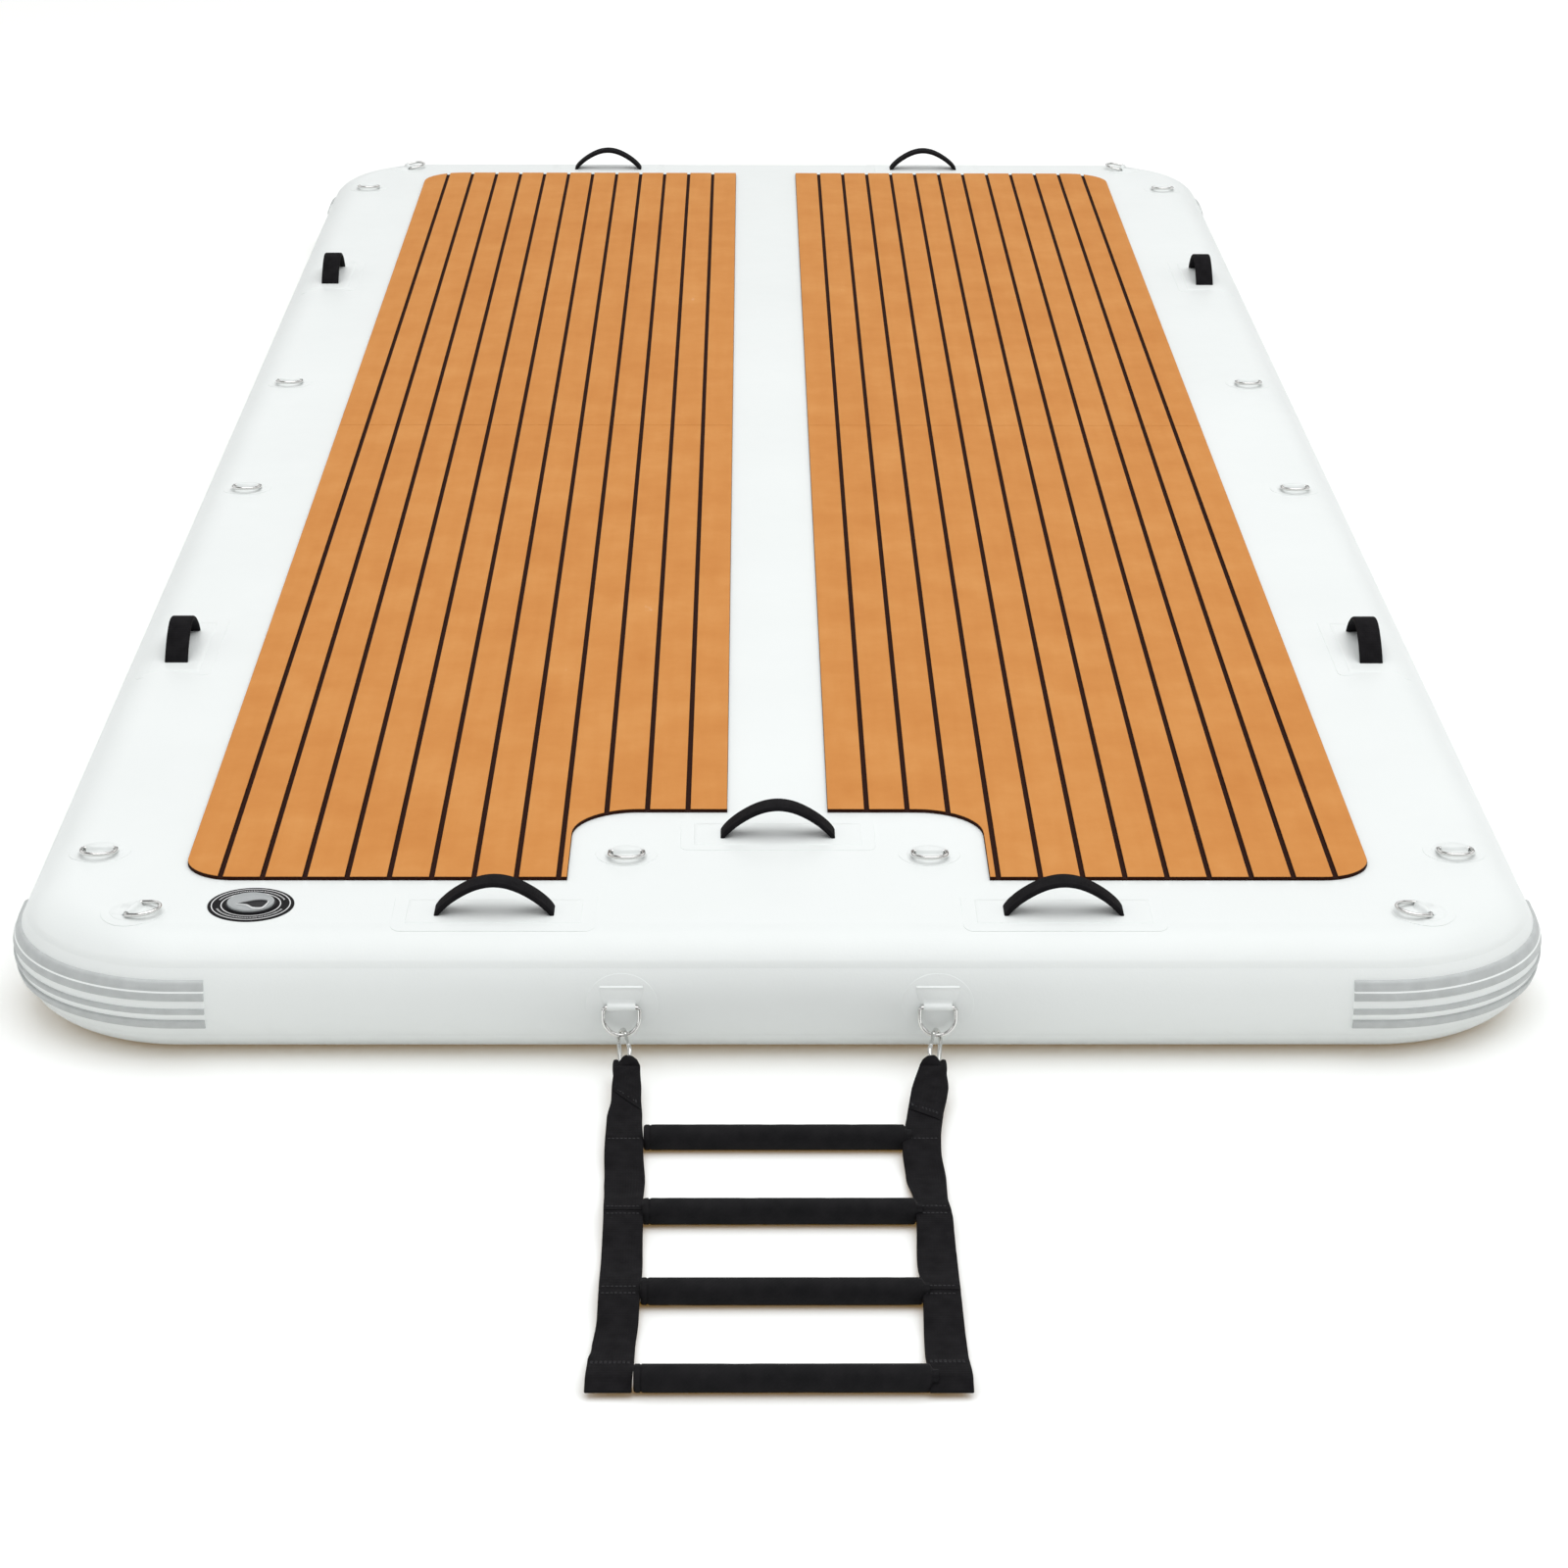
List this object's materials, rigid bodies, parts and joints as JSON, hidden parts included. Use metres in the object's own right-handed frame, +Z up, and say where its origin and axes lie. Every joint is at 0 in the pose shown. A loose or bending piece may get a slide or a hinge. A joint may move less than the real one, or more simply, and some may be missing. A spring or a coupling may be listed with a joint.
{
  "type": "inflatable dock platform",
  "caption": "Rectangular inflatable dock with a teak-look foam deck, D-rings, carrying handles, a valve and a clip-on webbing boarding ladder.",
  "frame": {"origin": "centre of the platform's flat underside", "axes": "+Z up, +Y along the platform away from the boarding ladder, +X to the right of someone who stands at the ladder and faces the deck"},
  "size_m": [1.8362, 5.0431, 0.193],
  "materials": {
    "white_pvc": "satin PVC-coated fabric",
    "core_fabric": "woven polyester drop-stitch fabric",
    "grey_strake": "matt extruded PVC rubbing strake",
    "teak_foam": "brushed EVA foam, teak colour with dark grooves",
    "black_webbing": "woven polyester webbing",
    "black_sleeve": "padded woven sleeve",
    "grey_valve_plastic": "moulded nylon",
    "dark_valve_plastic": "moulded nylon",
    "stainless": "polished stainless steel"
  },
  "bodies": {
    "platform": {"bottom_skin": "white_pvc", "deck_pad_front_left": "teak_foam", "deck_pad_front_right": "teak_foam", "deck_pad_rear_left": "teak_foam", "deck_pad_rear_right": "teak_foam", "drop_stitch_core": "core_fabric", "handle_front_centre": "black_webbing", "handle_front_left": "black_webbing", "handle_front_right": "black_webbing", "handle_left_front": "black_webbing", "handle_left_rear": "black_webbing", "handle_rear_left": "black_webbing", "handle_rear_right": "black_webbing", "handle_right_front": "black_webbing", "handle_right_rear": "black_webbing", "ladder_ring_patch_left": "white_pvc", "ladder_ring_patch_right": "white_pvc", "side_wall": "white_pvc", "strake_front_left": "grey_strake", "strake_front_right": "grey_strake", "strake_rear_left": "grey_strake", "strake_rear_right": "grey_strake", "top_skin": "white_pvc", "valve_body": "grey_valve_plastic", "valve_nut": "dark_valve_plastic", "valve_spring": "stainless"},
    "dring_left_front": {"dring_left_front": "stainless"},
    "dring_left_midfront": {"dring_left_midfront": "stainless"},
    "dring_left_midrear": {"dring_left_midrear": "stainless"},
    "dring_left_rear": {"dring_left_rear": "stainless"},
    "dring_corner_front_left": {"dring_corner_front_left": "stainless"},
    "dring_corner_rear_left": {"dring_corner_rear_left": "stainless"},
    "dring_step_left": {"dring_step_left": "stainless"},
    "dring_right_front": {"dring_right_front": "stainless"},
    "dring_right_midfront": {"dring_right_midfront": "stainless"},
    "dring_right_midrear": {"dring_right_midrear": "stainless"},
    "dring_right_rear": {"dring_right_rear": "stainless"},
    "dring_corner_front_right": {"dring_corner_front_right": "stainless"},
    "dring_corner_rear_right": {"dring_corner_rear_right": "stainless"},
    "dring_step_right": {"dring_step_right": "stainless"},
    "dring_ladder_left": {"dring_ladder_left": "stainless"},
    "dring_ladder_right": {"dring_ladder_right": "stainless"},
    "valve_cap": {"valve_cap": "grey_valve_plastic"},
    "valve_plunger": {"valve_plunger": "dark_valve_plastic"},
    "ladder_head": {"carabiner_left": "stainless", "carabiner_right": "stainless", "strap_1_left": "black_webbing", "strap_1_right": "black_webbing", "rung_1": "black_sleeve"},
    "gate_left": {"gate_left": "stainless"},
    "gate_right": {"gate_right": "stainless"},
    "ladder_section_2": {"rung_2": "black_sleeve", "strap_2_left": "black_webbing", "strap_2_right": "black_webbing"},
    "ladder_section_3": {"rung_3": "black_sleeve", "strap_3_left": "black_webbing", "strap_3_right": "black_webbing"},
    "ladder_section_4": {"rung_4": "black_sleeve", "strap_4_left": "black_webbing", "strap_4_right": "black_webbing"}
  },
  "joints": [
    {"name": "dring_left_front_hinge", "type": "hinge", "parent": "platform", "child": "dring_left_front", "pos_m": [-0.825, -1.84, 0.1538], "axis": [-1, 0, 0], "range_deg": [-8, 170]},
    {"name": "dring_left_midfront_hinge", "type": "hinge", "parent": "platform", "child": "dring_left_midfront", "pos_m": [-0.825, -0.313, 0.1538], "axis": [-1, 0, 0], "range_deg": [-8, 170]},
    {"name": "dring_left_midrear_hinge", "type": "hinge", "parent": "platform", "child": "dring_left_midrear", "pos_m": [-0.825, 0.313, 0.1538], "axis": [-1, 0, 0], "range_deg": [-8, 170]},
    {"name": "dring_left_rear_hinge", "type": "hinge", "parent": "platform", "child": "dring_left_rear", "pos_m": [-0.825, 1.84, 0.1538], "axis": [-1, 0, 0], "range_deg": [-8, 170]},
    {"name": "dring_corner_front_left_hinge", "type": "hinge", "parent": "platform", "child": "dring_corner_front_left", "pos_m": [-0.758, -2.03, 0.1538], "axis": [-0.3007, -0.9537, 0], "range_deg": [-8, 170]},
    {"name": "dring_corner_rear_left_hinge", "type": "hinge", "parent": "platform", "child": "dring_corner_rear_left", "pos_m": [-0.758, 2.03, 0.1538], "axis": [0.3007, -0.9537, 0], "range_deg": [-8, 170]},
    {"name": "dring_step_left_hinge", "type": "hinge", "parent": "platform", "child": "dring_step_left", "pos_m": [-0.184, -1.85, 0.1538], "axis": [-1, 0, 0], "range_deg": [-8, 170]},
    {"name": "dring_right_front_hinge", "type": "hinge", "parent": "platform", "child": "dring_right_front", "pos_m": [0.825, -1.84, 0.1538], "axis": [-1, 0, 0], "range_deg": [-8, 170]},
    {"name": "dring_right_midfront_hinge", "type": "hinge", "parent": "platform", "child": "dring_right_midfront", "pos_m": [0.825, -0.313, 0.1538], "axis": [-1, 0, 0], "range_deg": [-8, 170]},
    {"name": "dring_right_midrear_hinge", "type": "hinge", "parent": "platform", "child": "dring_right_midrear", "pos_m": [0.825, 0.313, 0.1538], "axis": [-1, 0, 0], "range_deg": [-8, 170]},
    {"name": "dring_right_rear_hinge", "type": "hinge", "parent": "platform", "child": "dring_right_rear", "pos_m": [0.825, 1.84, 0.1538], "axis": [-1, 0, 0], "range_deg": [-8, 170]},
    {"name": "dring_corner_front_right_hinge", "type": "hinge", "parent": "platform", "child": "dring_corner_front_right", "pos_m": [0.758, -2.03, 0.1538], "axis": [-0.3007, 0.9537, 0], "range_deg": [-8, 170]},
    {"name": "dring_corner_rear_right_hinge", "type": "hinge", "parent": "platform", "child": "dring_corner_rear_right", "pos_m": [0.758, 2.03, 0.1538], "axis": [0.3007, 0.9537, 0], "range_deg": [-8, 170]},
    {"name": "dring_step_right_hinge", "type": "hinge", "parent": "platform", "child": "dring_step_right", "pos_m": [0.184, -1.85, 0.1538], "axis": [-1, 0, 0], "range_deg": [-8, 170]},
    {"name": "dring_ladder_left_hinge", "type": "hinge", "parent": "platform", "child": "dring_ladder_left", "pos_m": [-0.183, -2.1376, 0.075], "axis": [-1, 0, 0], "range_deg": [-6, 90]},
    {"name": "dring_ladder_right_hinge", "type": "hinge", "parent": "platform", "child": "dring_ladder_right", "pos_m": [0.183, -2.1376, 0.075], "axis": [-1, 0, 0], "range_deg": [-6, 90]},
    {"name": "valve_cap_twist", "type": "hinge", "parent": "platform", "child": "valve_cap", "pos_m": [-0.622, -2.01, 0.1513], "axis": [0, 0, 1], "range_deg": [0, 90]},
    {"name": "valve_plunger_press", "type": "slide", "parent": "platform", "child": "valve_plunger", "axis": [0, 0, -1], "range_m": [0, 0.005], "stiffness_N_per_m": 800, "springref_m": -0.004, "deforming": ["valve_spring"]},
    {"name": "ladder_swing", "type": "hinge", "parent": "dring_ladder_left", "child": "ladder_head", "pos_m": [0, -2.1411, 0.04168], "axis": [-1, 0, 0], "range_deg": [-75, 40]},
    {"name": "gate_left_hinge", "type": "hinge", "parent": "ladder_head", "child": "gate_left", "pos_m": [-0.17837, -2.14862, 0.04705], "axis": [0.8749, 0.2372, -0.4222], "range_deg": [0, 28], "stiffness_Nm_per_rad": 0.02, "springref_deg": -17.19},
    {"name": "gate_right_hinge", "type": "hinge", "parent": "ladder_head", "child": "gate_right", "pos_m": [0.17837, -2.14862, 0.04705], "axis": [0.8749, -0.2372, 0.4222], "range_deg": [0, 28], "stiffness_Nm_per_rad": 0.02, "springref_deg": -17.19},
    {"name": "ladder_fold_1", "type": "hinge", "parent": "ladder_head", "child": "ladder_section_2", "pos_m": [0, -2.371, 0.0145], "axis": [-1, 0, 0], "range_deg": [-75, 75]},
    {"name": "ladder_fold_2", "type": "hinge", "parent": "ladder_section_2", "child": "ladder_section_3", "pos_m": [0, -2.55, 0.0145], "axis": [1, 0, 0], "range_deg": [-75, 75]},
    {"name": "ladder_fold_3", "type": "hinge", "parent": "ladder_section_3", "child": "ladder_section_4", "pos_m": [0, -2.729, 0.0145], "axis": [-1, 0, 0], "range_deg": [-75, 75]}
  ],
  "couplings": [
    {"joint": "dring_ladder_right_hinge", "follows": "dring_ladder_left_hinge", "ratio": 1}
  ]
}
